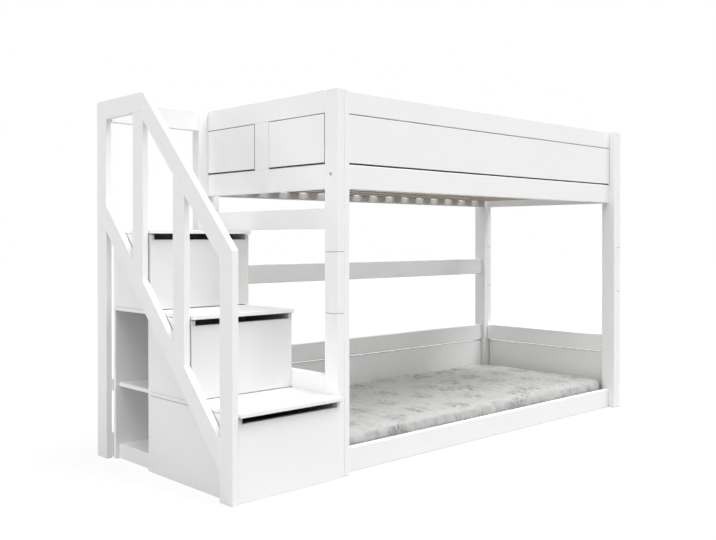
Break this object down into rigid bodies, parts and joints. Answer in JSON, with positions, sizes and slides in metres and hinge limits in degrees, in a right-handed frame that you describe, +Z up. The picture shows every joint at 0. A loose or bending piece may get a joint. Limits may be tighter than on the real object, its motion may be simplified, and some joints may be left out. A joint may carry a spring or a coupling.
{
  "type": "bunk bed with storage stairs",
  "caption": "White lacquered wooden bunk bed with guarded upper bunk, open lower bunk with mattress, stair boxes with drawers, side shelves and a sloped railing",
  "frame": {"origin": "on the floor, under the middle of the object's outline", "axes": "+X along the bed, from the stairs to the far end; +Y from the open front to the rear side; +Z up"},
  "size_m": [2.57, 0.987, 1.49],
  "materials": {
    "white_lacquer": "white lacquered solid wood, satin",
    "white_board": "white lacquered board, satin",
    "bare_pine": "bare planed pine, matte",
    "mattress_cover": "quilted knitted cover, light grey with a grey sprig print",
    "grey_plastic": "plain moulded plastic"
  },
  "bodies": {
    "bed": {"drawer_runners": "bare_pine", "end_cross_rail": "white_lacquer", "handrail": "white_lacquer", "landing_low_rail": "white_lacquer", "landing_middle_rail": "white_lacquer", "landing_post": "white_lacquer", "landing_top_rail": "white_lacquer", "lower_end_panels": "white_lacquer", "lower_end_rails": "white_lacquer", "lower_end_top_rails": "white_lacquer", "lower_front_rail": "white_lacquer", "lower_rear_panel": "white_lacquer", "lower_rear_rail": "white_lacquer", "lower_rear_top_rail": "white_lacquer", "lower_slats": "bare_pine", "mattress": "mattress_cover", "post_battens": "white_lacquer", "post_lower_sections": "white_lacquer", "post_middle_sections": "white_lacquer", "post_upper_sections": "white_lacquer", "railing_front_baluster": "white_lacquer", "railing_front_post": "white_lacquer", "railing_lower_rail": "white_lacquer", "railing_rear_baluster": "white_lacquer", "railing_rear_post": "white_lacquer", "railing_spacers": "grey_plastic", "railing_top_rail": "white_lacquer", "rear_middle_rail": "white_lacquer", "shelf_boards": "white_board", "shelf_divider": "white_board", "shelf_plinth": "white_board", "shelf_side": "white_board", "slat_ledgers": "white_lacquer", "stair_back_low": "white_board", "stair_back_top": "white_board", "stair_sides_low": "white_board", "stair_sides_middle": "white_board", "stair_sides_top": "white_board", "tread_1": "white_board", "tread_2": "white_board", "tread_3": "white_board", "upper_end_panels": "white_lacquer", "upper_end_rails": "white_lacquer", "upper_end_stiles": "white_lacquer", "upper_end_top_rails": "white_lacquer", "upper_front_panel": "white_lacquer", "upper_rear_panel": "white_lacquer", "upper_side_rails": "white_lacquer", "upper_side_top_rails": "white_lacquer", "upper_slats": "bare_pine"},
    "drawer_1": {"drawer_1_bottom": "white_board", "drawer_1_box": "white_board", "drawer_1_front": "white_board"},
    "drawer_2": {"drawer_2_bottom": "white_board", "drawer_2_box": "white_board", "drawer_2_front": "white_board"},
    "drawer_3": {"drawer_3_bottom": "white_board", "drawer_3_box": "white_board", "drawer_3_front": "white_board"}
  },
  "joints": [
    {"name": "drawer_1_slide", "type": "slide", "parent": "bed", "child": "drawer_1", "axis": [0, -1, 0], "range_m": [0, 0.4]},
    {"name": "drawer_2_slide", "type": "slide", "parent": "bed", "child": "drawer_2", "axis": [0, -1, 0], "range_m": [0, 0.19]},
    {"name": "drawer_3_slide", "type": "slide", "parent": "bed", "child": "drawer_3", "axis": [0, -1, 0], "range_m": [0, 0.18]}
  ]
}
